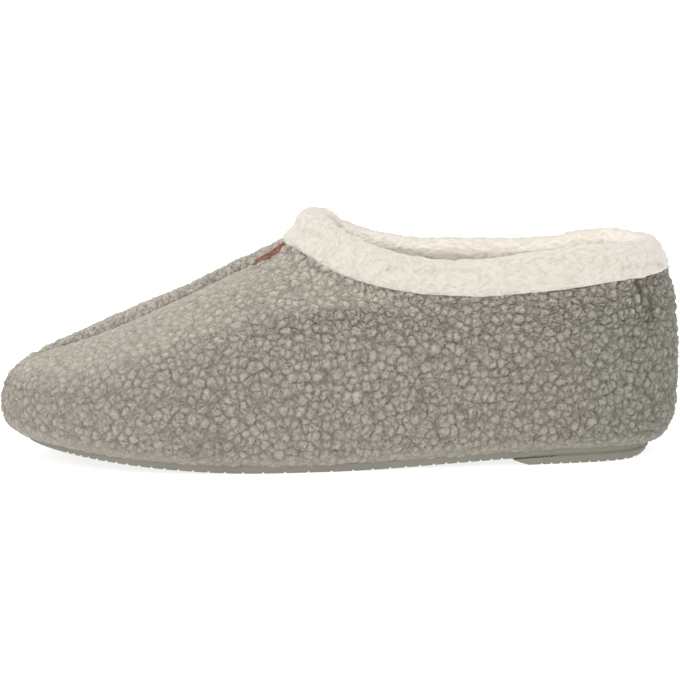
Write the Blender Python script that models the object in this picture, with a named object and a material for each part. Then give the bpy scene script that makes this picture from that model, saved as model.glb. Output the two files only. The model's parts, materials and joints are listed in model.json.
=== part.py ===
"""A closed-back house slipper for the left foot, in metres, with the toe towards -X.

Lengths along the foot are measured back from the toe tip, breadths from the foot's own centre line
and heights from the floor. The outer side of the foot faces -Y.
"""

from collections import namedtuple

import bmesh
import bpy
import numpy as np

MM = 0.001

# Overall sizes
LENGTH = 255 * MM
MIDDLE = 1.33 * MM
WALL = 3.0 * MM
GAP = 0.3 * MM

# The upper: where its level lines are measured, how finely it is divided, and its vamp seam
WAIST_AT = 160 * MM
HEEL_AT = 212 * MM
TOE_SHARE = 0.17
HEEL_ROUND = 0.72
CORNER_BACK = 0.8
TOE_RISE = 0.9
SPAN_COLUMNS = (6, 7, 8, 5, 3, 3)
SPAN_ROWS = (2, 2, 3, 3, 5, 4, 3, 2)
SEAM_CROWDING = 1.3
SEAM_DEPTH = 2.0 * MM
SEAM_FROM_ROW = sum(SPAN_ROWS[:2])
SEAM_FULL_ROW = sum(SPAN_ROWS[:4])

# The cuff: a fleece band folded over the top edge of the upper
CUFF_EDGE_ROW = sum(SPAN_ROWS[:-1])
CUFF_THICK = 4.0 * MM
CUFF_LIP = 1.6 * MM
CUFF_ROLL = 0.72

# The sole: a moulded sheet with a lift under the heel, notched across its bottom
SHEET = 3.0 * MM
SOLE_LIP = 0.6 * MM
SOLE_TAPER = 0.8 * MM
TOE_SPRING = 7.2 * MM
SPRING_FROM = 94 * MM
SPRING_POWER = 1.7
HEEL_RISE = 3.3 * MM
RISE_FROM = 120 * MM
RISE_TO = 215 * MM
BREAST_AT = 188 * MM
BREAST_RUN = 5 * MM
LIFT_INSET = 0.5 * MM
LIFT_EDGE = 0.4 * MM
HEEL_BEVEL_FROM = 230 * MM
HEEL_BEVEL = 2.4 * MM
NOTCH_WIDTH = 1.2 * MM
NOTCH_DEPTH = 0.6 * MM
NOTCHES_FROM = 24 * MM
NOTCHES_TO = 238 * MM
NOTCH_CLEAR = 0.3 * MM
SOLE_STATIONS = 48
LIFT_STATIONS = 16
END_SHARE = 0.012

# The insole and the tab at the throat
INSOLE_THICK = 4.5 * MM
INSOLE_STATIONS = 34
TAB_LENGTH = 14.5 * MM
TAB_WIDTH = 7 * MM
TAB_THICK = 1.1 * MM
TAB_FROM_CUFF = 0.5 * MM
TAB_STATIONS = 7

# Level lines that run round the upper, from the feather edge on the sole to its top edge in the cuff.
# front, fore_at and back are lengths from the toe tip; toe, fore, waist and heel are half breadths;
# the z columns are heights; rise and lift are how much higher the line runs on the inner side of the
# forefoot and of the waist, and dip how much lower on the inner side of the heel.
# The feather line takes its heights from the sole. All in millimetres.
Level = namedtuple("Level", "name front fore_at back toe fore waist heel "
                            "z_front z_toe z_fore z_waist z_heel z_back rise lift dip")
LEVELS = (
    Level("feather", 9.0, 80, 244.0, 23.5, 41.5, 32.8, 29.0, 0, 0, 0, 0, 0, 0, 0, 0, 0),
    Level("turn", 3.0, 81, 250.3, 26.5, 45.3, 36.8, 33.2, 11.6, 10.6, 6.5, 7.3, 8.4, 7.6, 0, 0, 0),
    Level("belly", 0.0, 82, 254.5, 28.5, 48.3, 40.7, 36.6, 18.5, 18.8, 20.5, 22.0, 22.0, 19.5, 0.5, 0, 0),
    Level("shoulder", 4.0, 84, 254.8, 25.0, 45.8, 41.0, 37.0, 33.5, 33.0, 37.0, 38.0, 39.5, 38.5, 2.0, 0.5, 0),
    Level("toe top", 20.0, 88, 254.0, 25.0, 40.4, 39.2, 36.2, 40.7, 40.2, 49.5, 49.5, 52.0, 53.5, 5.2, 1.0, 0),
    Level("vamp", 58.0, 96, 252.8, 20.0, 35.6, 36.8, 35.0, 54.9, 54.2, 57.5, 56.7, 59.5, 62.0, 6.0, 1.5, 0),
    Level("instep", 88.0, 108, 251.3, 15.5, 29.6, 34.8, 33.6, 69.0, 67.9, 65.0, 61.2, 63.8, 66.6, 6.0, 1.5, 0.3),
    Level("cuff edge", 107.5, 120, 249.2, 9.5, 22.6, 33.4, 32.0, 80.5, 79.2, 73.2, 64.4, 66.8, 70.6, 5.0, 1.0, 1.0),
    Level("top edge", 114.5, 126, 242.7, 8.5, 19.0, 28.8, 27.8, 88.5, 87.4, 82.3, 73.1, 77.4, 78.6, 2.0, 2.2, 2.7),
)

# How far the foot's centre line swings towards its inner side
Swing = namedtuple("Swing", "at inward")
CENTRE_LINE = (
    Swing(0, 6.0),
    Swing(45, 4.0),
    Swing(90, 0.5),
    Swing(150, -2.0),
    Swing(205, -0.5),
    Swing(255, 0.0),
)

# Spacing of the notches across the sole, along its length
Pitch = namedtuple("Pitch", "at step")
NOTCH_PITCH = (
    Pitch(24, 2.3),
    Pitch(45, 4.2),
    Pitch(75, 6.0),
    Pitch(105, 8.6),
    Pitch(140, 6.0),
    Pitch(170, 4.2),
    Pitch(188, 3.8),
    Pitch(240, 3.7),
)

# Section of the footbed: shares of its width, and of its thickness there
Crown = namedtuple("Crown", "across height")
INSOLE_CROWN = (
    Crown(0.0, 0.55),
    Crown(0.08, 0.85),
    Crown(0.3, 1.0),
    Crown(0.7, 1.0),
    Crown(0.92, 0.85),
    Crown(1.0, 0.55),
)

Finish = namedtuple("Finish", "colour roughness")
FINISHES = {
    "boucle_taupe": Finish((0.35, 0.32, 0.27), 0.95),
    "fleece_cream": Finish((0.84, 0.79, 0.69), 0.95),
    "rubber_grey": Finish((0.29, 0.28, 0.22), 0.70),
    "leather_brown": Finish((0.26, 0.09, 0.055), 0.60),
}


def spline_slopes(knots, points, closed):
    """Slopes at the knots of the smooth cubic curve through the points."""
    step = np.diff(knots)[:, None]
    chord = np.diff(points, axis=0) / step
    count = len(points) - 1 if closed else len(points)
    system = np.zeros((count, count))
    target = np.zeros((count, points.shape[1]))
    for i in range(count):
        if not closed and i in (0, count - 1):
            near = min(i, count - 2)
            system[i, i] = 2
            system[i, 1 if i == 0 else i - 1] = 1
            target[i] = 3 * chord[near]
            continue
        before = i - 1
        system[i, before] += 1 / step[before, 0]
        system[i, i] += 2 / step[before, 0] + 2 / step[i, 0]
        system[i, (i + 1) % count] += 1 / step[i, 0]
        target[i] = 3 * (chord[before] / step[before] + chord[i] / step[i])
    slopes = np.linalg.solve(system, target)
    return np.vstack((slopes, slopes[:1])) if closed else slopes


def spline(knots, points, at, closed=False):
    """Points on the smooth curve through the given points, at the parameter values asked for."""
    slopes = spline_slopes(knots, points, closed)
    span = np.clip(np.searchsorted(knots, at, side="right") - 1, 0, len(knots) - 2)
    width = (knots[span + 1] - knots[span])[:, None]
    t = (np.asarray(at) - knots[span])[:, None] / width
    start = (1 + 2 * t) * (1 - t) ** 2 * points[span] + t * (1 - t) ** 2 * width * slopes[span]
    end = t * t * (3 - 2 * t) * points[span + 1] + t * t * (t - 1) * width * slopes[span + 1]
    return start + end


def chord_knots(points):
    """Parameter values that grow with the distance from point to point."""
    return np.concatenate(([0.0], np.cumsum(np.linalg.norm(np.diff(points, axis=0), axis=1))))


def smooth_table(rows, at):
    """A two-column table in millimetres, read as a smooth curve."""
    table = np.array(rows, float) * MM
    return spline(table[:, 0], table[:, 1:], np.atleast_1d(at))[:, 0]


def smooth_step(share):
    """Ease from 0 to 1."""
    share = np.clip(share, 0, 1)
    return share * share * (3 - 2 * share)


def swing(at):
    """Offset of the foot's centre line towards the inner side."""
    return smooth_table(CENTRE_LINE, at)


def sole_top(at):
    """Height of the sole's upper face: toe spring in front, heel rise behind."""
    front = LEVELS[0].front * MM
    spring = np.clip((SPRING_FROM - at) / (SPRING_FROM - front), 0, None) ** SPRING_POWER
    return SHEET + TOE_SPRING * spring + HEEL_RISE * smooth_step((at - RISE_FROM) / (RISE_TO - RISE_FROM))


def level_nodes(level):
    """The twelve points of a level line, from the toe round the outer side to the heel and back."""
    front, fore_at, back = level.front * MM, level.fore_at * MM, level.back * MM
    toe_at = front + TOE_SHARE * (fore_at - front)
    corner_at = HEEL_AT + HEEL_ROUND * (back - HEEL_AT)
    z_corner = (1 - CORNER_BACK) * level.z_heel + CORNER_BACK * level.z_back
    side = (
        (toe_at, level.toe, level.z_toe, TOE_RISE * level.rise),
        (fore_at, level.fore, level.z_fore, level.rise),
        (WAIST_AT, level.waist, level.z_waist, level.lift),
        (HEEL_AT, level.heel, level.z_heel, -level.dip),
        (corner_at, HEEL_ROUND * level.heel, z_corner, -(1 - CORNER_BACK) * level.dip),
    )
    outer = [(at, -half * MM, z * MM) for at, half, z, rise in side]
    inner = [(at, half * MM, (z + rise) * MM) for at, half, z, rise in reversed(side)]
    nodes = np.array([(front, 0, level.z_front * MM), *outer, (back, 0, level.z_back * MM), *inner])
    nodes[:, 1] += swing(nodes[:, 0])
    if level.name == "feather":
        nodes[:, 2] = sole_top(nodes[:, 0]) + GAP
    return nodes


def column_shares():
    """Fractions of each span between measured points where columns stand, closer together at the seam."""
    outer = [np.arange(count) / count for count in SPAN_COLUMNS]
    outer[0] = outer[0] ** SEAM_CROWDING
    inner = [np.arange(count) / count for count in reversed(SPAN_COLUMNS)]
    inner[-1] = 1 - (1 - inner[-1]) ** SEAM_CROWDING
    return outer + inner


def level_line(level, shares):
    """A level line as points, one for each column."""
    nodes = level_nodes(level)
    ring = np.vstack((nodes, nodes[:1]))
    knots = chord_knots(ring)
    at = np.concatenate([knots[i] + part * (knots[i + 1] - knots[i]) for i, part in enumerate(shares)])
    return spline(knots, ring, at, closed=True)


def upper_surface():
    """The smooth outer face of the upper as rows of points, each row running once round the foot."""
    lines = np.array([level_line(level, column_shares()) for level in LEVELS])
    rows = sum(SPAN_ROWS) + 1
    surface = np.zeros((rows, lines.shape[1], 3))
    for column in range(lines.shape[1]):
        rib = lines[:, column]
        knots = chord_knots(rib)
        at = [knots[i] + (knots[i + 1] - knots[i]) * k / n for i, n in enumerate(SPAN_ROWS) for k in range(n)]
        surface[:, column] = spline(knots, rib, np.array(at + [knots[-1]]))
    surface[0, :, 2] = sole_top(surface[0, :, 0]) + GAP
    return surface


def unit(vectors):
    """Vectors brought to length one."""
    return vectors / np.linalg.norm(vectors, axis=-1, keepdims=True)


def outward(surface):
    """Unit normals of the surface, pointing away from the foot."""
    along = np.roll(surface, -1, axis=1) - np.roll(surface, 1, axis=1)
    return unit(np.cross(along, np.gradient(surface, axis=0)))


def wall_inside(surface, depth):
    """The surface moved into the foot by a depth, its lowest row kept flat on the sole."""
    inside = surface - depth * outward(surface)
    level_out = outward(surface)[0] * (1, 1, 0)
    inside[0] = surface[0] - depth * unit(level_out)
    inside[0, :, 2] = sole_top(inside[0, :, 0]) + GAP
    return inside


def material(name):
    """A plain material from the table of finishes."""
    finish = FINISHES[name]
    slot = bpy.data.materials.get(name) or bpy.data.materials.new(name)
    slot.use_nodes = True
    shader = slot.node_tree.nodes["Principled BSDF"]
    shader.inputs["Base Color"].default_value = (*finish.colour, 1)
    shader.inputs["Roughness"].default_value = finish.roughness
    shader.inputs["Metallic"].default_value = 0.0
    slot.diffuse_color = (*finish.colour, 1)
    return slot


def loft(name, loops, finish, wrap=False):
    """A solid through loops of points: the last loop joins the first, or else both ends are closed."""
    mesh = bmesh.new()
    rings = []
    for loop in loops:
        rings.append([mesh.verts.new((x - LENGTH / 2, y - MIDDLE, z)) for x, y, z in loop])
    pairs = list(zip(rings, rings[1:]))
    if wrap:
        pairs.append((rings[-1], rings[0]))
    else:
        mesh.faces.new(rings[0])
        mesh.faces.new(rings[-1])
    for low, high in pairs:
        for i in range(len(low)):
            following = (i + 1) % len(low)
            mesh.faces.new((low[i], low[following], high[following], high[i]))
    bmesh.ops.recalc_face_normals(mesh, faces=mesh.faces)
    for face in mesh.faces:
        face.smooth = True
    data = bpy.data.meshes.new(name)
    mesh.to_mesh(data)
    mesh.free()
    data.materials.append(material(finish))
    solid = bpy.data.objects.new(name, data)
    bpy.context.collection.objects.link(solid)
    return solid


def build_upper(surface):
    """One hollow wall, open at the collar and underneath, with the vamp seam sunk into its pile."""
    outside = surface.copy()
    fade = (np.arange(len(surface)) - SEAM_FROM_ROW) / (SEAM_FULL_ROW - SEAM_FROM_ROW)
    seam = SEAM_DEPTH * smooth_step(fade)
    outside[:, 0] -= seam[:, None] * outward(surface)[:, 0]
    inside = wall_inside(surface, WALL)
    return loft("upper", [*outside, *inside[::-1]], "boucle_taupe", wrap=True)


def build_cuff(surface):
    """A fleece band cut from the upper's own surface: two legs and a rolled crest over its top edge."""
    normals = outward(surface)
    inside = wall_inside(surface, WALL)
    rows = range(CUFF_EDGE_ROW, len(surface))
    up = unit(surface[-1] - surface[-2])
    middle = (surface[-1] + inside[-1]) / 2
    outer_leg = []
    inner_leg = []
    for row in rows:
        share = (row - CUFF_EDGE_ROW) / (len(surface) - 1 - CUFF_EDGE_ROW)
        thick = CUFF_LIP + (CUFF_THICK - CUFF_LIP) * np.sqrt(share)
        outer_leg.append(surface[row] + (GAP + thick) * normals[row])
        inner_leg.append(inside[row] - (GAP + thick) * normals[row])
    shoulder = CUFF_ROLL * (WALL / 2 + GAP + CUFF_THICK) * normals[-1]
    rolled = [
        middle + shoulder + CUFF_ROLL * (GAP + CUFF_THICK) * up,
        middle + (GAP + CUFF_THICK) * up,
        middle - shoulder + CUFF_ROLL * (GAP + CUFF_THICK) * up,
    ]
    pocket_in = [inside[row] - GAP * normals[row] for row in rows]
    pocket_out = [surface[row] + GAP * normals[row] for row in rows]
    pocket_in[-1] = pocket_in[-1] + GAP * up
    pocket_out[-1] = pocket_out[-1] + GAP * up
    loops = [*outer_leg, *rolled, *inner_leg[::-1], *pocket_in, *pocket_out[::-1]]
    return loft("collar_cuff", loops, "fleece_cream", wrap=True)


def sole_edges(line, at, margin):
    """Outer and inner edge of the foot's outline at the given lengths, moved out by a margin."""
    ahead = np.roll(line, -1, axis=0) - np.roll(line, 1, axis=0)
    sideways = unit(np.stack((ahead[:, 1], -ahead[:, 0]), axis=1))
    edge = line[:, :2] + margin * sideways
    turn = int(np.argmax(edge[:, 0]))
    outer = edge[:turn + 1]
    inner = np.vstack((edge[turn:], edge[:1]))[::-1]
    return np.interp(at, outer[:, 0], outer[:, 1]), np.interp(at, inner[:, 0], inner[:, 1])


def outline_ends(line, margin):
    """Foremost and rearmost length of the outline moved out by a margin."""
    return line[:, 0].min() - margin, line[:, 0].max() + margin


def eased_stations(front, back, count):
    """Lengths from front to back, closer together at both ends."""
    share = (1 - np.cos(np.linspace(END_SHARE, 1 - END_SHARE, count) * np.pi)) / 2
    return front + (back - front) * share


def notch_places():
    """Middle of each notch, stepped along the sole by the spacing table."""
    places = []
    at = NOTCHES_FROM
    while at < NOTCHES_TO:
        if not BREAST_AT - 2 * NOTCH_WIDTH < at < BREAST_AT + BREAST_RUN + 2 * NOTCH_WIDTH:
            places.append(at)
        at += smooth_table(NOTCH_PITCH, at)[0]
    return np.array(places)


def notch_cut(at):
    """Depth of the notch at a length along the sole."""
    nearest = np.abs(np.asarray(at)[:, None] - notch_places()[None, :]).min(axis=1)
    return NOTCH_DEPTH * np.clip(1 - 2 * nearest / NOTCH_WIDTH, 0, 1)


def notched_stations(front, back, count):
    """Stations along the sole with both edges and the bottom of every notch among them."""
    notches = notch_places()
    notches = notches[(notches > front + NOTCH_WIDTH) & (notches < back - NOTCH_WIDTH)]
    marks = np.concatenate([notches + side * NOTCH_WIDTH / 2 for side in (-1, 0, 1)])
    plain = eased_stations(front, back, count)
    clear = np.abs(plain[:, None] - marks[None, :]).min(axis=1) > NOTCH_CLEAR
    return np.sort(np.concatenate((marks, plain[clear])))


def slab(name, at, edges_low, edges_high, low, high, finish):
    """A flat piece lofted along the foot from its edges and its lower and upper heights."""
    loops = []
    for i, length in enumerate(at):
        loops.append((
            (length, edges_low[0][i], low[i]),
            (length, edges_high[0][i], high[i]),
            (length, edges_high[1][i], high[i]),
            (length, edges_low[1][i], low[i]),
        ))
    return loft(name, loops, finish)


def build_outsole(line):
    """The moulded sheet, sprung at the toe and notched across its bottom in front of the heel."""
    front, back = outline_ends(line, SOLE_LIP)
    at = notched_stations(front, back, SOLE_STATIONS)
    low_edges = sole_edges(line, at, SOLE_LIP - SOLE_TAPER)
    high_edges = sole_edges(line, at, SOLE_LIP)
    high = sole_top(at)
    cut = np.where(at < BREAST_AT, notch_cut(at), 0)
    return slab("outsole", at, low_edges, high_edges, high - SHEET + cut, high, "rubber_grey")


def build_heel_lift(line):
    """The lift under the heel, with a sloping breast, notches and a bevelled back."""
    back = outline_ends(line, SOLE_LIP)[1] - LIFT_INSET
    at = notched_stations(BREAST_AT, back, LIFT_STATIONS)
    high = sole_top(at) - SHEET - GAP
    breast = np.clip((at - BREAST_AT) / BREAST_RUN, 0, 1)
    bevel = HEEL_BEVEL * np.clip((at - HEEL_BEVEL_FROM) / (back - HEEL_BEVEL_FROM), 0, 1) ** 2
    thinnest = high - LIFT_EDGE
    low = thinnest * (1 - breast) + np.minimum(notch_cut(at) + bevel, thinnest) * breast
    low_edges = sole_edges(line, at, SOLE_LIP - SOLE_TAPER - LIFT_INSET)
    high_edges = sole_edges(line, at, SOLE_LIP - LIFT_INSET)
    return slab("heel_lift", at, low_edges, high_edges, low, high, "rubber_grey")


def build_insole(surface):
    """The fleece-covered footbed lying on the sole inside the upper, slightly crowned."""
    inside = wall_inside(surface, WALL + GAP)[0]
    front, back = outline_ends(inside, 0)
    at = eased_stations(front, back, INSOLE_STATIONS)
    outer, inner = sole_edges(inside, at, 0)
    low = sole_top(at) + GAP
    loops = []
    for i, length in enumerate(at):
        width = inner[i] - outer[i]
        crown = [(length, outer[i] + point.across * width, low[i] + INSOLE_THICK * point.height)
                 for point in INSOLE_CROWN]
        loops.append(((length, outer[i], low[i]), *crown, (length, inner[i], low[i])))
    return loft("insole", loops, "fleece_cream")


def build_tab(surface):
    """A small leather tab laid over the vamp seam in front of the cuff."""
    normals = outward(surface)[:, 0]
    ridge = surface[:CUFF_EDGE_ROW + 1, 0]
    knots = chord_knots(ridge)
    top = knots[-1] - TAB_FROM_CUFF
    at = np.linspace(top - TAB_LENGTH, top, TAB_STATIONS)
    spine = spline(knots, ridge, at)
    lift = unit(spline(knots, normals[:CUFF_EDGE_ROW + 1], at))
    across = unit(np.cross(lift, np.gradient(spine, axis=0)))
    loops = []
    for point, out, side in zip(spine, lift, across):
        low = point + GAP * out
        high = point + (GAP + TAB_THICK) * out
        half = side * TAB_WIDTH / 2
        loops.append((low - half, high - half, high + half, low + half))
    return loft("throat_tab", loops, "leather_brown")


def build():
    """Clear the scene and make every piece of the slipper."""
    for old in list(bpy.data.objects):
        bpy.data.objects.remove(old)
    surface = upper_surface()
    feather = surface[0]
    build_upper(surface)
    build_cuff(surface)
    build_insole(surface)
    build_tab(surface)
    build_outsole(feather)
    build_heel_lift(feather)


build()
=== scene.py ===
"""Looks of a closed-back slipper: pile panels, fleece cuff, lining and footbed, leather tab, rubber sole.

Every piece but the dashes starts from a merged copy of its solid, so it lies where that solid lies.
Lengths are metres. Tables of places are in millimetres, with the toe at -X and the outer side at -Y.
"""

import json
import math
from collections import namedtuple

import bpy
import numpy as np
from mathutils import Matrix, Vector
from mathutils.bvhtree import BVHTree
from mathutils.kdtree import KDTree

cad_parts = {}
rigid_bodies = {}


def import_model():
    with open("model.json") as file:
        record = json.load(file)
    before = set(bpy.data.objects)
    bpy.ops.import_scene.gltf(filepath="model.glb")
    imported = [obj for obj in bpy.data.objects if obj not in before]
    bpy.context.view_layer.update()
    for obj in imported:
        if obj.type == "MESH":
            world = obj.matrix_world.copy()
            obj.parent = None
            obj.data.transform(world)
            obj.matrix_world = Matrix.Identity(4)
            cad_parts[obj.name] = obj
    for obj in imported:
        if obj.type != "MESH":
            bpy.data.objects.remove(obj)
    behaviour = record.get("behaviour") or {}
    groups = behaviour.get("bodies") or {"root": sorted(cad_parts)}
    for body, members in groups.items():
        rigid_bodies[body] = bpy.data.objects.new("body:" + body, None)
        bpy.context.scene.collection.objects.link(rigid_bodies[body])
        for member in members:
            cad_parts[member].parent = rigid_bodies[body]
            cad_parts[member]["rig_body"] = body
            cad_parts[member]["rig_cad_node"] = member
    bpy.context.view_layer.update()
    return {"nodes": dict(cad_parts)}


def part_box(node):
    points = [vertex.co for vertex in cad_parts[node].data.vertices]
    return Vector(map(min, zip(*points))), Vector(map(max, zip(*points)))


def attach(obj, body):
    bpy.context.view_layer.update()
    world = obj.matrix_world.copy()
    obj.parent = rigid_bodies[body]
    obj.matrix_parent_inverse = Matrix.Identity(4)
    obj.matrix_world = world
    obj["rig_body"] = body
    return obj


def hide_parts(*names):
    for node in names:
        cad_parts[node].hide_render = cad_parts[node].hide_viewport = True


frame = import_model()

MM = 0.001
BODY = "root"

# The camera, at the photograph's angle to the slipper
VIEW_AZIMUTH = -5
VIEW_ELEVATION = 8
VIEW_DISTANCE = 1.1
VIEW_WIDTH = 0.256
VIEW_AIM = Vector((-0.001, 0, 0.0429))
SENSOR = 36

# The studio
FLOOR_REACH = 20.0
FLOOR_WHITE = 0.5
FLOOR_GLOW = 0.75
SKY_STRENGTH = 0.88
SOFTBOX_FROM = Vector((-0.35, -0.45, 0.82))
SOFTBOX_SPREAD = 75
SOFTBOX_STRENGTH = 1.0

# The foot's centre line, which parts the outer panel from the inner one
CentreLine = namedtuple("CentreLine", "x y")
CENTRE_LINE = (
    CentreLine(-127.5, 4.7),
    CentreLine(-82.5, 2.7),
    CentreLine(-37.5, -0.8),
    CentreLine(22.5, -3.3),
    CentreLine(77.5, -1.8),
    CentreLine(127.5, -1.3),
)
SPINE_HEIGHT = 25 * MM
SPINE_REACH = 95 * MM

# The pile of the upper: its knots, puffs, tufts and fibres in millimetres, with shares of their own size,
# and the drifts that push the pattern about
Drift = namedtuple("Drift", "wave reach")
YARN_DRIFTS = (Drift(6.0, 2.5), Drift(2.0, 1.4))
CURL = 3.15
CURL_RADIUS = 0.95
CURL_SHOULDER = 0.5
PILLOW_SHARE = 0.6
FRAY = Drift(0.9, 0.9)
PUFF = 3.0
PUFF_CREASE = 0.11
PUFF_SHARE = 0.45
TUFT = 1.5
TUFT_CREASE = 0.13
TUFT_SHARE = 0.3
KNOT_SHARE = 0.8
FIBRE = 0.5
PILE_DEPTH = 2.1 * MM
PILE_TIP = 0.25
PRESSED_HEIGHT = 0.72
PANEL_LEVELS = 3

# Height and lightness of the pile along the foot, with painted light on faces that look up and painted
# shade in the creases
PileAlong = namedtuple("PileAlong", "x loft tone")
PILE_ALONG = (
    PileAlong(-127, 0.82, 0.92),
    PileAlong(-95, 0.82, 0.89),
    PileAlong(-50, 0.98, 0.89),
    PileAlong(0, 1.0, 0.93),
    PileAlong(60, 1.0, 0.85),
    PileAlong(105, 1.12, 0.73),
    PileAlong(127, 1.15, 0.67),
)
TOP_PAINTED_LIGHT = 0.3
TOP_PRESS = 0.2
CREASE_FULL = 1.5 * MM
CREASE_SHADE = 0.6

# Where the pile is pressed flat or, on the far panel, stands higher, and how far that reaches from an edge
CUFF_NEAR = 0.8 * MM
CUFF_CLEAR = 0.35 * MM
CUFF_RUN = 0.9 * MM
CUFF_LOFT = 0.6
CUFF_FILL = 1.0 * MM
CUFF_FILL_RUN = 5.0 * MM
CUFF_TUCK = 0.9 * MM
CUFF_TUCK_RUN = 1.2 * MM
CUFF_COVER = 4.0 * MM
CUFF_OVERLAP = 1.5 * MM
# Painted light: within this run below the cuff the pile is painted lighter, against the shade under the
# cuff's lip
CUFF_SHADE_RUN = 14.0 * MM
CUFF_PAINTED_LIGHT = 0.14
SEAM_CLEAR = 2.5 * MM
SEAM_RUN = 6.5 * MM
SEAM_LOFT = 0.22
SEAM_HOLD = 1.4 * MM
SEAM_ROLL = 0.9 * MM
SEAM_ROLL_AT = 2.4 * MM
SEAM_ROLL_WIDTH = 2.2 * MM
FAR_LOFT = 1.8
FAR_RUN = 22.0 * MM
FAR_SHADE = 0.07
SOLE_CLEAR = 1.0 * MM
SOLE_RUN = 4.0 * MM
SOLE_LOFT = 0.4
SOLE_SINK = 1.3 * MM
SOLE_SINK_RUN = 3.0 * MM
VAMP_END = -24 * MM
ROLL_END = -31 * MM
ROLL_FADE = -39 * MM
TOE_FADE = -104 * MM
TOE_END = -120 * MM

# Soft troughs, or ridges where the depth is negative, along places in millimetres
TRAIL_POINTS = 24
Crease = namedtuple("Crease", "piece width depth path")
HEEL_FOLD = ((106.8, -28.8, 66.5), (108.5, -29.9, 60.6), (110.5, -29.9, 53.9), (112.2, -29.4, 48.6))
HEEL_FOLD_BEHIND = ((110.1, -27.4, 65.5), (111.9, -28.4, 58.6), (113.5, -28.4, 51.1))
THROAT_STEP = ((-18.5, 5.0, 86.6), (-19.8, -2.0, 86.6), (-18.1, -8.2, 86.2))
THROAT_FOLD = ((-16.9, -12.5, 85.2), (-13.6, -17.6, 84.6), (-9.9, -21.5, 83.8))
THROAT_LOBE = ((-20.5, 4.0, 81.5), (-21.0, 0.0, 81.5), (-20.0, -7.0, 81.0))
THROAT_ROLL = ((-3.0, 9.0, 88.5), (-6.0, 0.0, 89.5), (-5.0, -9.0, 88.0))
SIDE_FOLD = ((14.2, -34.6, 73.3), (21.4, -35.7, 73.0), (32.3, -36.8, 72.6), (43.2, -37.1, 73.3))
FAR_RIM = ((45.0, 24.5, 78.0), (60.0, 25.5, 77.5), (78.0, 24.5, 78.0))
FAR_BUMP = ((92.0, 22.0, 80.0), (98.0, 20.0, 80.5), (103.0, 17.0, 81.0))
BACK_FOLD = (
    (101.1, -31.1, 73.1),
    (107.6, -27.9, 73.2),
    (114.3, -22.5, 73.1),
    (117.7, -18.8, 72.8),
    (121.5, -8.0, 72.5),
)
BACK_LIP = ((106.0, -29.0, 69.5), (110.0, -27.0, 69.8), (116.0, -21.5, 69.5), (121.0, -10.0, 69.3))
CREASES = (
    Crease("outer_panel", 1.2, 1.5, HEEL_FOLD),
    Crease("outer_panel", 1.0, 1.2, HEEL_FOLD_BEHIND),
    Crease("fleece_cuff", 2.3, 1.2, THROAT_STEP),
    Crease("fleece_cuff", 2.2, 1.0, THROAT_FOLD),
    Crease("fleece_cuff", 3.4, -1.3, THROAT_LOBE),
    Crease("fleece_cuff", 5.0, -2.0, THROAT_ROLL),
    Crease("fleece_cuff", 1.4, 0.8, SIDE_FOLD),
    Crease("fleece_cuff", 7.0, -1.3, FAR_RIM),
    Crease("fleece_cuff", 6.0, -2.2, FAR_BUMP),
    Crease("fleece_cuff", 1.2, 1.0, BACK_FOLD),
    Crease("fleece_cuff", 2.0, -1.0, BACK_LIP),
)

# The tab lies a little into the pile, most at its far edge
TAB_EDGE = ((-34.0, -3.8, 71.1), (-28.4, -5.6, 73.7), (-21.3, -6.2, 78.4))
TAB_PILE = 0.7 * MM
TAB_PILE_RUN = 2.5 * MM
TAB_SINK = 0.3 * MM
TAB_FAR_SINK = 0.6 * MM
TAB_ROUND = 0.3 * MM

# The sole
SOLE_EDGE = 0.35 * MM
SOLE_STATIONS = 80
SHARP_ANGLE = math.radians(35)
LIFT_CLOSE = 0.6 * MM
LIFT_TOP = 2.9 * MM
Dash = namedtuple("Dash", "length height depth pitch level")
DASH = Dash(0.9 * MM, 0.35 * MM, 0.3 * MM, 1.55 * MM, 3.1 * MM)
RIM_HALF_ARC = 150
RIM_STEP = 0.25
RIM_REACH = 100 * MM

# The fleece: lumps, curls and slow folds in millimetres, then how deep they lie on each piece
FLEECE_DRIFT = Drift(5.0, 2.0)
FLEECE_LUMP = 3.4
FLEECE_CURL = 1.7
FLEECE_CURL_CREASE = 0.2
FLEECE_CURL_SHARE = 0.5
FLEECE_FOLD = 11.0
Nap = namedtuple("Nap", "depth fold")
CUFF_NAP = Nap(0.55 * MM, 0.6 * MM)
LINING_NAP = Nap(0.25 * MM, 0.2 * MM)

# The cuff: its pocket on the upper, its drawn-down lip and how light it is outside and inside; the inside,
# the lining and the footbed carry painted light against the shade inside the slipper
POCKET = 0.7 * MM
LIP_DROP = 1.7 * MM
LIP_REACH = 8.0 * MM
LIP_BLEND = 2.0 * MM
LIP_BINS = 96
LIP_EVEN = 2
OUTER_TONE = 0.79
INSIDE_PAINTED_LIGHT = 1.08

# Colours, each at a share of the pattern that it follows
Stop = namedtuple("Stop", "at colour")
# The pile's colour by height: the yarn's colour, with painted shade in the clefts and painted light on the
# tips
PILE_COLOURS_WITH_CLEFT_SHADE = (
    Stop(0.1, (0.209, 0.188, 0.154)),
    Stop(0.5, (0.301, 0.276, 0.233)),
    Stop(0.95, (0.484, 0.442, 0.377)),
)
PILE_SPECKS = (Stop(0.3, (0.82, 0.82, 0.82)), Stop(0.7, (1.17, 1.17, 1.17)))
PILE_TINTS = (Stop(0.68, (1.0, 1.05, 1.01)), Stop(0.84, (1.0, 1.0, 1.0)))
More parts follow.
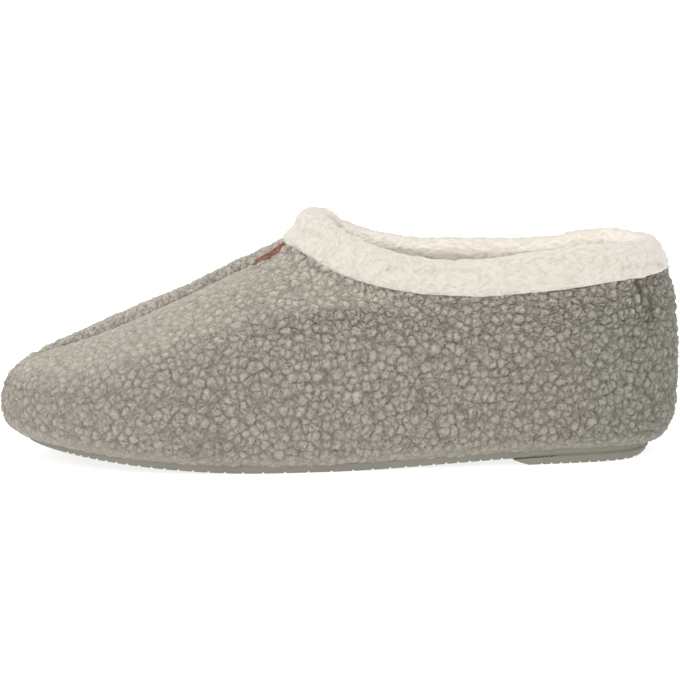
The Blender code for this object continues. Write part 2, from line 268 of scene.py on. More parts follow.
# The fleece's colour by lump height: darker in the hollows as painted shade, and yellower there
FLEECE_COLOURS_WITH_HOLLOW_SHADE = (Stop(0.5, (0.83, 0.765, 0.66)), Stop(1.0, (0.89, 0.84, 0.755)))
RUBBER_COLOURS = (Stop(0.3, (0.222, 0.211, 0.173)), Stop(0.7, (0.253, 0.241, 0.199)))
LEATHER_COLOURS = (Stop(0.1, (0.42, 0.165, 0.11)), Stop(0.7, (0.15, 0.064, 0.047)))
DASH_COLOUR = (0.205, 0.192, 0.15)

# Grain sizes of the materials in millimetres
FLEECE_GRAIN = 0.9
RUBBER_CLOUD = 14
RUBBER_GRAIN = 0.4
LEATHER_PEBBLE = 1.3


def centre_line(x):
    """The foot's centre line at places along the shoe."""
    table = np.array(CENTRE_LINE) * MM
    return np.interp(x, table[:, 0], table[:, 1])


def smooth_step(low, high, value):
    """Ease from 0 at low to 1 at high."""
    share = np.clip((value - low) / (high - low), 0, 1)
    return share * share * (3 - 2 * share)


# Modelling helpers


def only(piece):
    """Select one object and make it the active one."""
    bpy.ops.object.select_all(action="DESELECT")
    piece.select_set(True)
    bpy.context.view_layer.objects.active = piece


def copy_node(node, name):
    """A merged copy of a CAD node, its triangles joined back into the rows of quads they came from."""
    only(frame["nodes"][node])
    bpy.ops.object.duplicate()
    piece = bpy.context.active_object
    piece.name = name
    piece.data.name = name
    piece.parent = None
    del piece["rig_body"]
    del piece["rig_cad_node"]
    piece.data.materials.clear()
    bpy.ops.object.mode_set(mode="EDIT")
    bpy.ops.mesh.select_all(action="SELECT")
    bpy.ops.mesh.customdata_custom_splitnormals_clear()
    bpy.ops.mesh.remove_doubles(threshold=0.001 * MM)
    bpy.ops.mesh.tris_convert_to_quads(face_threshold=1.2, shape_threshold=2.4, topology_influence=1.4)
    bpy.ops.mesh.select_all(action="DESELECT")
    bpy.ops.object.mode_set(mode="OBJECT")
    return piece


def pick_faces(piece, test):
    """Select the faces whose centre and normal pass a test, and stay in edit mode."""
    only(piece)
    bpy.ops.object.mode_set(mode="EDIT")
    bpy.ops.mesh.select_mode(type="FACE")
    bpy.ops.mesh.select_all(action="DESELECT")
    bpy.ops.object.mode_set(mode="OBJECT")
    for face in piece.data.polygons:
        face.select = bool(test(face.center, face.normal))
    bpy.ops.object.mode_set(mode="EDIT")


def drop_faces(piece, test):
    """Delete the faces that pass a test."""
    pick_faces(piece, test)
    bpy.ops.mesh.delete(type="FACE")
    bpy.ops.object.mode_set(mode="OBJECT")


def drop_points(piece, chosen):
    """Delete the chosen vertices and the faces on them."""
    only(piece)
    bpy.ops.object.mode_set(mode="EDIT")
    bpy.ops.mesh.select_mode(type="VERT")
    bpy.ops.mesh.select_all(action="DESELECT")
    bpy.ops.object.mode_set(mode="OBJECT")
    piece.data.vertices.foreach_set("select", chosen)
    bpy.ops.object.mode_set(mode="EDIT")
    bpy.ops.mesh.delete(type="VERT")
    bpy.ops.object.mode_set(mode="OBJECT")


def open_edge(piece):
    """Places of the vertices on the piece's open edges."""
    only(piece)
    bpy.ops.object.mode_set(mode="EDIT")
    bpy.ops.mesh.select_mode(type="VERT")
    bpy.ops.mesh.select_all(action="DESELECT")
    bpy.ops.mesh.select_non_manifold(extend=False)
    bpy.ops.object.mode_set(mode="OBJECT")
    return np.array([vertex.co for vertex in piece.data.vertices if vertex.select])


def split_columns(piece):
    """Halve the columns of an open panel: cut the edges along its foot and all that run beside them."""
    only(piece)
    spots = places(piece)
    low = spots[:, 2] < sole_height(spots[:, 0]) + 0.5 * MM
    middle = np.abs(spots[:, 1] - centre_line(spots[:, 0])) < 0.5 * MM
    bpy.ops.object.mode_set(mode="EDIT")
    bpy.ops.mesh.select_mode(type="EDGE")
    bpy.ops.mesh.select_all(action="DESELECT")
    bpy.ops.mesh.select_non_manifold(extend=False)
    bpy.ops.object.mode_set(mode="OBJECT")
    for edge in piece.data.edges:
        ends = list(edge.vertices)
        edge.select = bool(edge.select and low[ends].all() and not middle[ends].all())
    bpy.ops.object.mode_set(mode="EDIT")
    bpy.ops.mesh.loop_multi_select(ring=True)
    bpy.ops.mesh.subdivide(number_cuts=1)
    bpy.ops.object.mode_set(mode="OBJECT")


def refine(piece, levels):
    """Round the piece off with a subdivision surface."""
    only(piece)
    modifier = piece.modifiers.new("round", "SUBSURF")
    modifier.levels = levels
    modifier.render_levels = levels
    bpy.ops.object.modifier_apply(modifier=modifier.name)


def soften(piece, width):
    """Round the sharp edges of a piece."""
    only(piece)
    edge = piece.modifiers.new("edge", "BEVEL")
    edge.width = width
    edge.segments = 2
    edge.limit_method = "ANGLE"
    edge.angle_limit = SHARP_ANGLE
    bpy.ops.object.modifier_apply(modifier=edge.name)


def places(piece):
    """The piece's vertices as an array."""
    flat = np.zeros(len(piece.data.vertices) * 3)
    piece.data.vertices.foreach_get("co", flat)
    return flat.reshape(-1, 3)


def normals(piece):
    """The piece's vertex normals as an array."""
    flat = np.zeros(len(piece.data.vertices) * 3)
    piece.data.vertex_normals.foreach_get("vector", flat)
    return flat.reshape(-1, 3)


def move(piece, moved):
    """Put the piece's vertices where the array says."""
    piece.data.vertices.foreach_set("co", moved.astype(np.float32).ravel())
    piece.data.update()


def paint(piece, name, values):
    """Keep a number for each vertex as an attribute."""
    attribute = piece.data.attributes.get(name) or piece.data.attributes.new(name, "FLOAT", "POINT")
    attribute.data.foreach_set("value", np.asarray(values, np.float32))


def distances(points, targets):
    """Distance from each point to the nearest target."""
    tree = KDTree(len(targets))
    for number, place in enumerate(targets):
        tree.insert(place, number)
    tree.balance()
    return np.array([tree.find(point)[2] for point in points])


def finish_piece(piece, material):
    """Shade, paint and fasten a finished piece."""
    only(piece)
    bpy.ops.object.shade_smooth()
    piece.data.materials.append(material)
    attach(piece, BODY)
    return piece


# Node helpers


def node(tree, kind, inputs=None, **settings):
    """A node with its settings made and its inputs set or linked."""
    made = tree.nodes.new(kind)
    for key, value in settings.items():
        setattr(made, key, value)
    for key, value in (inputs or {}).items():
        if isinstance(value, bpy.types.NodeSocket):
            tree.links.new(value, made.inputs[key])
        else:
            made.inputs[key].default_value = value
    return made


def calc(tree, operation, *values):
    """The result of a sum on numbers or sockets."""
    return node(tree, "ShaderNodeMath", dict(enumerate(values)), operation=operation).outputs[0]


def attribute_value(tree, name):
    """A vertex attribute inside geometry nodes."""
    made = node(tree, "GeometryNodeInputNamedAttribute", {"Name": name}, data_type="FLOAT")
    return made.outputs["Attribute"]


def relief_tree(name):
    """An empty geometry node group, with its start and end."""
    tree = bpy.data.node_groups.new(name, "GeometryNodeTree")
    tree.interface.new_socket("Geometry", in_out="INPUT", socket_type="NodeSocketGeometry")
    tree.interface.new_socket("Geometry", in_out="OUTPUT", socket_type="NodeSocketGeometry")
    return tree, tree.nodes.new("NodeGroupInput").outputs[0], tree.nodes.new("NodeGroupOutput").inputs[0]


def vector_calc(tree, operation, first, second):
    """The result of a sum on two vectors, or of a vector scaled by a number."""
    key = "Scale" if operation == "SCALE" else 1
    return node(tree, "ShaderNodeVectorMath", {0: first, key: second}, operation=operation).outputs[0]


def warped_place(tree, spot, unit, drift):
    """A place, scaled by a unit, pushed about by a noise with the drift's wave length and reach."""
    place = vector_calc(tree, "SCALE", spot, unit)
    cloud = node(tree, "ShaderNodeTexNoise", {"Vector": place, "Scale": 1 / drift.wave, "Detail": 2.0})
    push = vector_calc(tree, "SUBTRACT", cloud.outputs["Color"], (0.5, 0.5, 0.5))
    return vector_calc(tree, "ADD", place, vector_calc(tree, "SCALE", push, drift.reach))


def rounded(tree, value):
    """A rise from 0 to 1 that starts steeply and levels off."""
    left = calc(tree, "SUBTRACT", 1.0, node(tree, "ShaderNodeClamp", {0: value}).outputs[0])
    return calc(tree, "SUBTRACT", 1.0, calc(tree, "MULTIPLY", left, left))


def stored(tree, geometry, name, value, data_type="FLOAT"):
    """The geometry with a value kept on each vertex."""
    made = node(tree, "GeometryNodeStoreNamedAttribute", data_type=data_type, domain="POINT")
    made.inputs["Name"].default_value = name
    tree.links.new(geometry, made.inputs["Geometry"])
    tree.links.new(value, made.inputs["Value"])
    return made.outputs[0]


def pushed(tree, geometry, amount):
    """The geometry with each vertex moved along its normal."""
    normal = node(tree, "GeometryNodeInputNormal").outputs[0]
    offset = vector_calc(tree, "SCALE", normal, amount)
    return node(tree, "GeometryNodeSetPosition", {"Geometry": geometry, "Offset": offset}).outputs[0]


def apply_relief(piece, tree):
    """Run a relief group on the piece and keep the result."""
    only(piece)
    modifier = piece.modifiers.new("relief", "NODES")
    modifier.node_group = tree
    bpy.ops.object.modifier_apply(modifier=modifier.name)


def noise(tree, place, wave, detail=1.0):
    """A soft noise from 0 to 1 with a given wave length."""
    inputs = {"Vector": place, "Scale": 1 / wave, "Detail": detail}
    return node(tree, "ShaderNodeTexNoise", inputs).outputs[0]


def billow(tree, place, wave, crease):
    """Round puffs with sharp creases between them, full at a given distance from a crease."""
    away = calc(tree, "ABSOLUTE", calc(tree, "SUBTRACT", noise(tree, place, wave, 0.0), 0.5))
    return rounded(tree, calc(tree, "DIVIDE", away, crease))


def curl_pattern(tree, yarn):
    """Height of the curled pile, 0 to about 1: knots of yarn, gathered in puffs, with small tufts."""
    frayed = warped_place(tree, yarn, 1.0, FRAY)
    cells = {"Vector": frayed, "Scale": 1 / CURL, "Randomness": 1.0}
    middle = node(tree, "ShaderNodeTexVoronoi", cells, feature="F1").outputs["Distance"]
    edge = node(tree, "ShaderNodeTexVoronoi", cells, feature="DISTANCE_TO_EDGE").outputs["Distance"]
    dome = rounded(tree, calc(tree, "SUBTRACT", 1.0, calc(tree, "DIVIDE", middle, CURL_RADIUS)))
    pillow = rounded(tree, calc(tree, "DIVIDE", edge, CURL_SHOULDER))
    pillow = calc(tree, "MULTIPLY", pillow, PILLOW_SHARE)
    knot = calc(tree, "MULTIPLY_ADD", dome, 1 - PILLOW_SHARE, pillow)
    puff = billow(tree, yarn, PUFF, PUFF_CREASE)
    puff = calc(tree, "MULTIPLY_ADD", puff, PUFF_SHARE, 1 - PUFF_SHARE)
    height = calc(tree, "MULTIPLY", calc(tree, "MULTIPLY", knot, puff), KNOT_SHARE)
    return calc(tree, "MULTIPLY_ADD", billow(tree, frayed, TUFT, TUFT_CREASE), TUFT_SHARE, height)


def curl_relief():
    """The curled pile as a relief on the panel."""
    tree, start, end = relief_tree("curled pile")
    spot = node(tree, "GeometryNodeInputPosition").outputs[0]
    slow, quick = YARN_DRIFTS
    yarn = warped_place(tree, warped_place(tree, spot, 1 / MM, slow), 1.0, quick)
    height = curl_pattern(tree, yarn)
    geometry = stored(tree, start, "yarn", yarn, "FLOAT_VECTOR")
    above = calc(tree, "SUBTRACT", height, 1 - PILE_TIP)
    lift = calc(tree, "MULTIPLY", attribute_value(tree, "pile"), above)
    tree.links.new(pushed(tree, geometry, lift), end)
    return tree


def fleece_relief(nap):
    """Brushed fleece: soft curls on low lumps and slow folds."""
    tree, start, end = relief_tree("brushed fleece")
    spot = node(tree, "GeometryNodeInputPosition").outputs[0]
    place = warped_place(tree, spot, 1 / MM, FLEECE_DRIFT)
    lump = noise(tree, place, FLEECE_LUMP, 1.0)
    curl = billow(tree, place, FLEECE_CURL, FLEECE_CURL_CREASE)
    fold = noise(tree, place, FLEECE_FOLD)
    height = calc(tree, "MULTIPLY_ADD", curl, FLEECE_CURL_SHARE, lump)
    level = calc(tree, "SUBTRACT", height, 0.5 + FLEECE_CURL_SHARE)
    slow = calc(tree, "MULTIPLY", calc(tree, "SUBTRACT", fold, 0.5), 2 * nap.fold)
    lift = calc(tree, "MULTIPLY_ADD", level, 2 * nap.depth, slow)
    lift = calc(tree, "MULTIPLY", lift, attribute_value(tree, "pile"))
    geometry = stored(tree, start, "lump", height)
    tree.links.new(pushed(tree, geometry, lift), end)
    return tree


# Materials


def new_material(name, **values):
    """A material whose even values are set on the shader itself."""
    made = bpy.data.materials.new(name)
    made.use_nodes = True
    shader = made.node_tree.nodes["Principled BSDF"]
    for key, value in values.items():
        shader.inputs[key.replace("_", " ")].default_value = value
    return made, made.node_tree, shader


def object_place(tree, size):
    """Object coordinates in units of a size in millimetres."""
    spot = node(tree, "ShaderNodeTexCoord").outputs["Object"]
    return vector_calc(tree, "SCALE", spot, 1 / (size * MM))


def ramp(tree, value, stops):
    """A colour for each value, blended between stops."""
    made = node(tree, "ShaderNodeValToRGB", {0: value})
    elements = made.color_ramp.elements
    while len(elements) < len(stops):
        elements.new(0.5)
    for element, stop in zip(elements, stops):
        element.position = stop.at
        element.color = (*stop.colour, 1)
    return made.outputs[0]


def blend(tree, share, first, second, kind="MIX"):
    """Two colours mixed by a share."""
    made = node(tree, "ShaderNodeMix", data_type="RGBA", blend_type=kind)
    for key, value in ((0, share), (6, first), (7, second)):
        if isinstance(value, bpy.types.NodeSocket):
            tree.links.new(value, made.inputs[key])
        else:
            made.inputs[key].default_value = value
    return made.outputs[2]


def bump(tree, height, distance, strength=1.0, onto=None):
    """A fine relief in the shading."""
    inputs = {"Height": height, "Distance": distance, "Strength": strength}
    if onto is not None:
        inputs["Normal"] = onto
    return node(tree, "ShaderNodeBump", inputs).outputs[0]


def pile_material():
    """Taupe curled pile: painted shade in the clefts, painted light on the tips, pale fibres, all fainter
    where it is pressed flat.
    """
    made, tree, shader = new_material("boucle_taupe_pile", Roughness=0.95, Specular_IOR_Level=0.15)
    shader.inputs["Sheen Weight"].default_value = 0.25
    shader.inputs["Sheen Roughness"].default_value = 0.5
    yarn = node(tree, "ShaderNodeAttribute", attribute_name="yarn").outputs["Vector"]
    loft = node(tree, "ShaderNodeAttribute", attribute_name="loft").outputs["Fac"]
    height = curl_pattern(tree, yarn)
    flat = calc(tree, "MULTIPLY", calc(tree, "SUBTRACT", 1.0, loft), PRESSED_HEIGHT)
    height = calc(tree, "MULTIPLY_ADD", height, loft, flat)
    fibre = noise(tree, yarn, FIBRE, 3.0)
    body = ramp(tree, height, PILE_COLOURS_WITH_CLEFT_SHADE)
    body = blend(tree, 1.0, body, ramp(tree, fibre, PILE_SPECKS), "MULTIPLY")
    # The tone carries painted light and painted shade from the panels; where it is low the pile is also
    # tinted greener
    tone = node(tree, "ShaderNodeAttribute", attribute_name="tone").outputs["Fac"]
    body = blend(tree, 1.0, body, ramp(tree, tone, PILE_TINTS), "MULTIPLY")
    tree.links.new(blend(tree, 1.0, body, tone, "MULTIPLY"), shader.inputs["Base Color"])
    relief = bump(tree, height, 0.8 * MM, 0.6)
    tree.links.new(bump(tree, fibre, 0.6 * MM, 0.7, relief), shader.inputs["Normal"])
    return made


def fleece_material():
    """Cream fleece, darker in its hollows as painted shade and a little yellower there, and lighter inside
    by painted light.
    """
    made, tree, shader = new_material("fleece_cream_nap", Roughness=1.0, Specular_IOR_Level=0.1)
    shader.inputs["Sheen Weight"].default_value = 0.2
    shader.inputs["Sheen Roughness"].default_value = 0.6
    shader.inputs["Subsurface Weight"].default_value = 0.4
    shader.inputs["Subsurface Radius"].default_value = (1.0, 0.9, 0.75)
    shader.inputs["Subsurface Scale"].default_value = 3 * MM
    lump = node(tree, "ShaderNodeAttribute", attribute_name="lump").outputs["Fac"]
    body = ramp(tree, lump, FLEECE_COLOURS_WITH_HOLLOW_SHADE)
    tone = node(tree, "ShaderNodeAttribute", attribute_name="tone").outputs["Fac"]
    tree.links.new(blend(tree, 1.0, body, tone, "MULTIPLY"), shader.inputs["Base Color"])
    fibre = noise(tree, object_place(tree, FLEECE_GRAIN), 1.0, 3.0)
    tree.links.new(bump(tree, fibre, 0.5 * MM, 0.7), shader.inputs["Normal"])
    return made


def plain_material(name, colour):
    """A matt material of one colour."""
    made, tree, shader = new_material(name, Roughness=0.9)
    shader.inputs["Base Color"].default_value = (*colour, 1)
    return made


def rubber_material():
    """Grey moulded rubber with a fine matt grain."""
    made, tree, shader = new_material("rubber_grey_moulded", Roughness=0.7, Specular_IOR_Level=0.3)
    cloud = noise(tree, object_place(tree, RUBBER_CLOUD), 1.0, 3.0)
    tree.links.new(ramp(tree, cloud, RUBBER_COLOURS), shader.inputs["Base Color"])
    grain = noise(tree, object_place(tree, RUBBER_GRAIN), 1.0, 2.0)
    tree.links.new(bump(tree, grain, 0.05 * MM, 0.5), shader.inputs["Normal"])
    return made


def leather_material():
    """Brown leather with pebbled grain."""
    made, tree, shader = new_material("leather_brown_grain", Roughness=0.75, Specular_IOR_Level=0.15)
    cells = {"Vector": object_place(tree, LEATHER_PEBBLE), "Scale": 1.0}
    pebble = node(tree, "ShaderNodeTexVoronoi", cells, feature="F1").outputs["Distance"]
    tree.links.new(ramp(tree, pebble, LEATHER_COLOURS), shader.inputs["Base Color"])
    tree.links.new(bump(tree, pebble, -0.15 * MM, 0.6), shader.inputs["Normal"])
    return made


# Pieces


def surface_tree(name):
    """A search tree over a CAD node's faces."""
    return BVHTree.FromObject(frame["nodes"][name], bpy.context.evaluated_depsgraph_get())


def sole_height(x):
    """Height of the outsole's upper face along the foot."""
    tree = surface_tree("outsole")
    low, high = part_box("outsole")
    stations = np.linspace(low.x + MM, high.x - MM, SOLE_STATIONS)
    heights = []
    for station in stations:
        above = Vector((station, centre_line(station), high.z + 10 * MM))
        heights.append(tree.ray_cast(above, Vector((0, 0, -1)))[0].z)
    return np.interp(x, stations, heights)


def points_out(centre, normal):
    """Whether a face of the upper looks away from the middle of the foot."""
    along = np.clip(centre.x, -SPINE_REACH, SPINE_REACH)
    middle = Vector((along, centre_line(along), SPINE_HEIGHT))
    return (centre - middle).dot(normal) > 0


def looks_in(spots, outs):
    """1 where a surface looks to the foot's middle line, 0 where it looks away, softly between."""
    along = np.clip(spots[:, 0], -SPINE_REACH, SPINE_REACH)
    middle = np.column_stack((along, centre_line(along)))
    away = spots[:, :2] - middle
    away /= np.linalg.norm(away, axis=1)[:, None]
    return smooth_step(0.1, 0.9, -(away * outs[:, :2]).sum(axis=1))


def trail(path):
    """Close points along a path of places in millimetres."""
    corners = np.array(path) * MM
    legs = zip(corners, corners[1:])
    return np.vstack([np.linspace(first, last, TRAIL_POINTS) for first, last in legs])


def crease_lift(piece, spots):
    """How far the listed creases move each vertex of a piece outwards."""
    lift = np.zeros(len(spots))
    for crease in CREASES:
        if crease.piece == piece.name:
            away = distances(spots, trail(crease.path)) / (crease.width * MM)
            lift -= crease.depth * MM * np.exp(-away * away)
    return lift


def seam_line(panel):
    """Places along the panel's open edge on the vamp."""
    edge = open_edge(panel)
    return edge[(edge[:, 0] < VAMP_END) & (edge[:, 2] > sole_height(edge[:, 0]) + SOLE_RUN)]


def depth_under(cuff, panel):
    """How far each vertex of the panel lies in behind the cuff's lower edge."""
    spots = places(panel)
    rays = zip(spots, normals(panel))
    covered = np.array([cuff.ray_cast(spot, out, CUFF_COVER)[0] is not None for spot, out in rays])
    return np.where(covered, distances(spots, spots[~covered]), 0)


def shape_panel(panel, side, to_cuff, under_cuff, to_seam):
    """Roll the outer panel's lip at the seam, fill the panel out to the cuff and sit it on the sole."""
    spots = places(panel)
    lift = crease_lift(panel, spots)
    tuck = smooth_step(0, CUFF_TUCK_RUN, under_cuff)
    at_cuff = 1 - smooth_step(CUFF_CLEAR, CUFF_FILL_RUN, to_cuff)
    lift += CUFF_FILL * (1 - tuck) * at_cuff - CUFF_TUCK * tuck
    lift += TAB_PILE * (1 - smooth_step(0, TAB_PILE_RUN, distances(spots, trail(TAB_EDGE))))
    if side < 0:
        roll = SEAM_ROLL * (1 - smooth_step(ROLL_FADE, ROLL_END, spots[:, 0]))
        lift += roll * np.exp(-((to_seam - SEAM_ROLL_AT) / SEAM_ROLL_WIDTH) ** 2)
    lift *= smooth_step(0, SEAM_HOLD, to_seam)
    moved = spots + normals(panel) * lift[:, None]
    over_sole = spots[:, 2] - sole_height(spots[:, 0])
    moved[:, 2] -= SOLE_SINK * (1 - smooth_step(0, SOLE_SINK_RUN, over_sole))
    move(panel, moved)


def panel_loft(panel, side, to_cuff, to_seam):
    """How far the pile stands up, as a share of its depth, and how light it is, with painted light on
    faces that look up and below the cuff, and painted shade in the creases and beside the seam on the far
    panel.
    """
    spots = places(panel)
    along = np.array(PILE_ALONG)
    loft = np.interp(spots[:, 0], along[:, 0] * MM, along[:, 1])
    tone = np.interp(spots[:, 0], along[:, 0] * MM, along[:, 2])
    looks_up = smooth_step(0.3, 0.9, normals(panel)[:, 2])
    # Painted light: faces that look up, and the pile just below the cuff, are painted lighter
    tone += TOP_PAINTED_LIGHT * looks_up + CUFF_PAINTED_LIGHT * (1 - smooth_step(0, CUFF_SHADE_RUN, to_cuff))
    loft *= 1 - TOP_PRESS * looks_up
    tone *= 1 - CREASE_SHADE * np.clip(-crease_lift(panel, spots) / CREASE_FULL, 0, 1)
    run, seam_loft, shade = (SEAM_RUN, SEAM_LOFT, 0) if side < 0 else (FAR_RUN, FAR_LOFT, FAR_SHADE)
    at_seam = 1 - smooth_step(SEAM_CLEAR, SEAM_CLEAR + run, to_seam)
    at_seam *= smooth_step(TOE_END, TOE_FADE, spots[:, 0])
    at_seam *= 1 - smooth_step(ROLL_FADE, ROLL_END, spots[:, 0])
    loft += at_seam * (seam_loft - loft)
    tone -= at_seam * shade
    loft *= smooth_step(0, SEAM_HOLD, to_seam)
    loft *= CUFF_LOFT + (1 - CUFF_LOFT) * smooth_step(CUFF_CLEAR, CUFF_CLEAR + CUFF_RUN, to_cuff)
    over_sole = spots[:, 2] - sole_height(spots[:, 0])
    loft *= SOLE_LOFT + (1 - SOLE_LOFT) * smooth_step(SOLE_CLEAR, SOLE_CLEAR + SOLE_RUN, over_sole)
    return loft, tone


def build_panel(name, side, material):
    """One half of the upper, outer (-1) or inner (1), from the sole to inside the cuff."""
    panel = copy_node("upper", name)
    cuff = surface_tree("collar_cuff")
    drop_faces(panel, lambda centre, normal: not points_out(centre, normal))
    drop_faces(panel, lambda centre, normal: side * (centre.y - centre_line(centre.x)) < 0)
    pick_faces(panel, lambda centre, normal: cuff.find_nearest(centre)[3] < CUFF_NEAR)
    bpy.ops.mesh.select_less()
    bpy.ops.mesh.select_less()
    bpy.ops.mesh.delete(type="FACE")
    bpy.ops.object.mode_set(mode="OBJECT")
    split_columns(panel)
    refine(panel, PANEL_LEVELS)
    drop_points(panel, depth_under(cuff, panel) > CUFF_OVERLAP)
    spots = places(panel)
    to_cuff = np.array([cuff.find_nearest(spot)[3] for spot in spots])
    to_seam = distances(spots, seam_line(panel))
    shape_panel(panel, side, to_cuff, depth_under(cuff, panel), to_seam)
    loft, tone = panel_loft(panel, side, to_cuff, to_seam)
    paint(panel, "loft", loft)
    paint(panel, "tone", tone)
    paint(panel, "pile", PILE_DEPTH * loft)
    apply_relief(panel, curl_relief())
    return finish_piece(panel, material)


def build_lining(material):
    """The fleece that lines the upper."""
    lining = copy_node("upper", "fleece_lining")
    drop_faces(lining, points_out)
    refine(lining, 2)
    drop_points(lining, depth_under(surface_tree("collar_cuff"), lining) > CUFF_OVERLAP)
    # Painted light: the lining is painted as light as the cuff's inside
    paint(lining, "tone", np.full(len(lining.data.vertices), INSIDE_PAINTED_LIGHT))
    paint(lining, "pile", np.ones(len(lining.data.vertices)))
    apply_relief(lining, fleece_relief(LINING_NAP))
    return finish_piece(lining, material)


def wall_trees():
    """Search trees over the outer and the inner faces of the upper."""
    mesh = frame["nodes"]["upper"].data
    spots = [vertex.co for vertex in mesh.vertices]
    outer = [face.vertices[:] for face in mesh.polygons if points_out(face.center, face.normal)]
    inner = [face.vertices[:] for face in mesh.polygons if not points_out(face.center, face.normal)]
    return BVHTree.FromPolygons(spots, outer), BVHTree.FromPolygons(spots, inner)


def lower_lip(cuff):
    """Draw the outer leg of the cuff down over the panels, most at its lower edge."""
    outer_wall, inner_wall = wall_trees()
    spots = places(cuff)
    found = [outer_wall.find_nearest(spot) for spot in spots]
    outs = np.array([out for place, out, face, away in found])
    to_outer = np.array([away for place, out, face, away in found])
    to_inner = np.array([inner_wall.find_nearest(spot)[3] for spot in spots])
    outside = smooth_step(-LIP_BLEND / 2, LIP_BLEND / 2, to_inner - to_outer)
    middle = (spots.min(axis=0) + spots.max(axis=0)) / 2
    turn = np.arctan2(spots[:, 1] - middle[1], spots[:, 0] - middle[0])
    part = ((turn / math.tau + 0.5) * LIP_BINS).astype(int) % LIP_BINS
    centres = ((np.arange(LIP_BINS) + 0.5) / LIP_BINS - 0.5) * math.tau
    leg = outside > 0.99
    lowest = np.full(LIP_BINS, np.inf)
    np.minimum.at(lowest, part[leg], spots[leg, 2])
    edge = np.interp(turn, centres, lowest, period=math.tau)
    facing = np.zeros((LIP_BINS, 3))
    np.add.at(facing, part[leg], outs[leg])
    facing = sum(np.roll(facing, step, axis=0) for step in range(-LIP_EVEN, LIP_EVEN + 1))
    facing /= np.linalg.norm(facing, axis=1)[:, None]
    out = np.column_stack([np.interp(turn, centres, row, period=math.tau) for row in facing.T])
    share = outside * (1 - smooth_step(0, LIP_REACH, spots[:, 2] - edge))
    down = out * out[:, 2:] - np.array((0, 0, 1))
    move(cuff, spots + LIP_DROP * share[:, None] * down)


def build_cuff(material):
    """The fleece band folded over the top edge."""
    cuff = copy_node("collar_cuff", "fleece_cuff")
    refine(cuff, 3)
    upper = surface_tree("upper")
    to_upper = np.array([upper.find_nearest(spot)[3] for spot in places(cuff)])
    free = smooth_step(POCKET, 2 * POCKET, to_upper)
    lower_lip(cuff)
    spots = places(cuff)
    # Painted light: the cuff is painted lighter where it looks in towards the foot's middle than outside
    paint(cuff, "tone", OUTER_TONE + (INSIDE_PAINTED_LIGHT - OUTER_TONE) * looks_in(spots, normals(cuff)))
    move(cuff, spots + normals(cuff) * (free * crease_lift(cuff, spots))[:, None])
    paint(cuff, "pile", free)
    apply_relief(cuff, fleece_relief(CUFF_NAP))
    return finish_piece(cuff, material)


def build_footbed(material):
    """The fleece-covered footbed."""
    footbed = copy_node("insole", "fleece_footbed")
    refine(footbed, 3)
    # Painted light: the footbed is painted as light as the cuff's inside
    paint(footbed, "tone", np.full(len(footbed.data.vertices), INSIDE_PAINTED_LIGHT))
    paint(footbed, "pile", np.ones(len(footbed.data.vertices)))
    apply_relief(footbed, fleece_relief(LINING_NAP))
    return finish_piece(footbed, material)


def build_tab(material):
    """The leather tab at the throat."""
    tab = copy_node("throat_tab", "leather_tab")
    soften(tab, TAB_ROUND)
    spots = places(tab)
    far = smooth_step(spots[:, 1].min(), spots[:, 1].max(), spots[:, 1])
    spots[:, 2] -= TAB_SINK + TAB_FAR_SINK * far
    move(tab, spots)
    refine(tab, 2)
    return finish_piece(tab, material)


def build_sole(material):
    """The rubber outsole with rounded edges."""
    sole = copy_node("outsole", "rubber_sole")
    soften(sole, SOLE_EDGE)
    finish_piece(sole, material)
    bpy.ops.object.shade_smooth_by_angle(angle=SHARP_ANGLE)
    return sole


def build_lift(material):
    """The rubber heel lift, closed up to the sole above it."""
    lift = copy_node("heel_lift", "rubber_lift")
    spots = places(lift)
    spots[spots[:, 2] > LIFT_TOP, 2] += LIFT_CLOSE
    move(lift, spots)
    soften(lift, SOLE_EDGE)
    finish_piece(lift, material)
    bpy.ops.object.shade_smooth_by_angle(angle=SHARP_ANGLE)
    return lift


def build_dashes(material):
    """A row of small moulded dashes round the joint of sole and lift."""
    tree = surface_tree("heel_lift")
    low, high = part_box("heel_lift")
    centre = Vector(((low.x + high.x) / 2, (low.y + high.y) / 2, LIFT_TOP - 0.3 * MM))
    rim = []
    for turn in np.radians(np.arange(-RIM_HALF_ARC, RIM_HALF_ARC, RIM_STEP)):
        outward = Vector((math.cos(turn), math.sin(turn), 0))
        rim.append(tree.ray_cast(centre + RIM_REACH * outward, -outward)[0])
    rim = np.array(rim)
    walked = np.concatenate(([0], np.cumsum(np.linalg.norm(np.diff(rim, axis=0), axis=1))))
    corners = np.array([(x, y, z) for x in (-0.5, 0.5) for y in (-0.5, 0.5) for z in (-0.5, 0.5)])
    corners = corners * (DASH.length, DASH.depth, DASH.height)
    sides = np.array(((0, 1, 3, 2), (4, 6, 7, 5), (0, 4, 5, 1), (2, 3, 7, 6), (0, 2, 6, 4), (1, 5, 7, 3)))
    spots, faces = [], []
    for at in np.arange(0, walked[-1], DASH.pitch):
        ahead = np.column_stack([np.interp((at, at + MM), walked, rim[:, axis]) for axis in range(2)])
        here = ahead[0]
        along = (ahead[1] - here) / np.linalg.norm(ahead[1] - here)
        across = np.array((-along[1], along[0]))
        flat = here + corners[:, :1] * along + corners[:, 1:2] * across
        faces.append(sides + 8 * len(spots))
        spots.append(np.column_stack((flat, DASH.level + corners[:, 2])))
    mesh = bpy.data.meshes.new("sole_dashes")
    mesh.from_pydata(np.vstack(spots).tolist(), [], np.vstack(faces).tolist())
    dashes = bpy.data.objects.new("sole_dashes", mesh)
    bpy.context.scene.collection.objects.link(dashes)
    return finish_piece(dashes, material)


# Studio


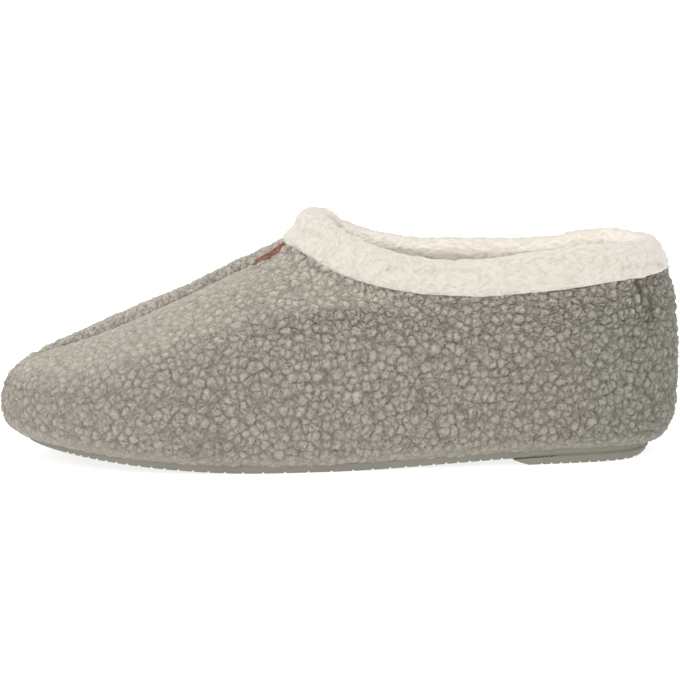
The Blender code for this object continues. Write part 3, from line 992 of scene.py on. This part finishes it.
def build_camera():
    """The camera at the photograph's angle."""
    azimuth, elevation = math.radians(VIEW_AZIMUTH), math.radians(VIEW_ELEVATION)
    back = Vector((
        math.sin(azimuth) * math.cos(elevation),
        -math.cos(azimuth) * math.cos(elevation),
        math.sin(elevation),
    ))
    turn = (-back).to_track_quat("-Z", "Y").to_euler()
    bpy.ops.object.camera_add(location=VIEW_AIM + back * VIEW_DISTANCE, rotation=turn)
    camera = bpy.context.active_object
    camera.data.sensor_width = SENSOR
    camera.data.lens = SENSOR * VIEW_DISTANCE / VIEW_WIDTH
    bpy.context.scene.camera = camera


def build_studio():
    """A pale floor that gives off light of its own, an even sky and one wide softbox at the upper left."""
    bpy.ops.mesh.primitive_plane_add(size=2 * FLOOR_REACH, location=(0, 0, 0))
    floor = bpy.context.active_object
    floor.name = "floor"
    made, tree, shader = new_material("studio_floor", Roughness=0.9)
    shader.inputs["Base Color"].default_value = (FLOOR_WHITE, FLOOR_WHITE, FLOOR_WHITE, 1)
    shader.inputs["Emission Color"].default_value = (1, 1, 1, 1)
    shader.inputs["Emission Strength"].default_value = FLOOR_GLOW
    floor.data.materials.append(made)
    world = bpy.data.worlds.new("studio")
    bpy.context.scene.world = world
    world.use_nodes = True
    sky = world.node_tree.nodes["Background"]
    sky.inputs["Color"].default_value = (1, 1, 1, 1)
    sky.inputs["Strength"].default_value = SKY_STRENGTH
    turn = (-SOFTBOX_FROM).to_track_quat("-Z", "Y").to_euler()
    bpy.ops.object.light_add(type="SUN", location=SOFTBOX_FROM, rotation=turn)
    softbox = bpy.context.active_object
    softbox.name = "softbox"
    softbox.data.angle = math.radians(SOFTBOX_SPREAD)
    softbox.data.energy = SOFTBOX_STRENGTH
    bpy.context.scene.view_settings.view_transform = "Standard"


build_camera()
build_studio()
pile = pile_material()
fleece = fleece_material()
rubber = rubber_material()
dressed = (
    (build_panel("outer_panel", -1, pile), "upper"),
    (build_panel("inner_panel", 1, pile), "upper"),
    (build_lining(fleece), "upper"),
    (build_cuff(fleece), "collar_cuff"),
    (build_footbed(fleece), "insole"),
    (build_tab(leather_material()), "throat_tab"),
    (build_sole(rubber), "outsole"),
    (build_lift(rubber), "heel_lift"),
)
build_dashes(plain_material("rubber_dash_dark", DASH_COLOUR))
for piece, solid in dressed:
    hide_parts(solid)
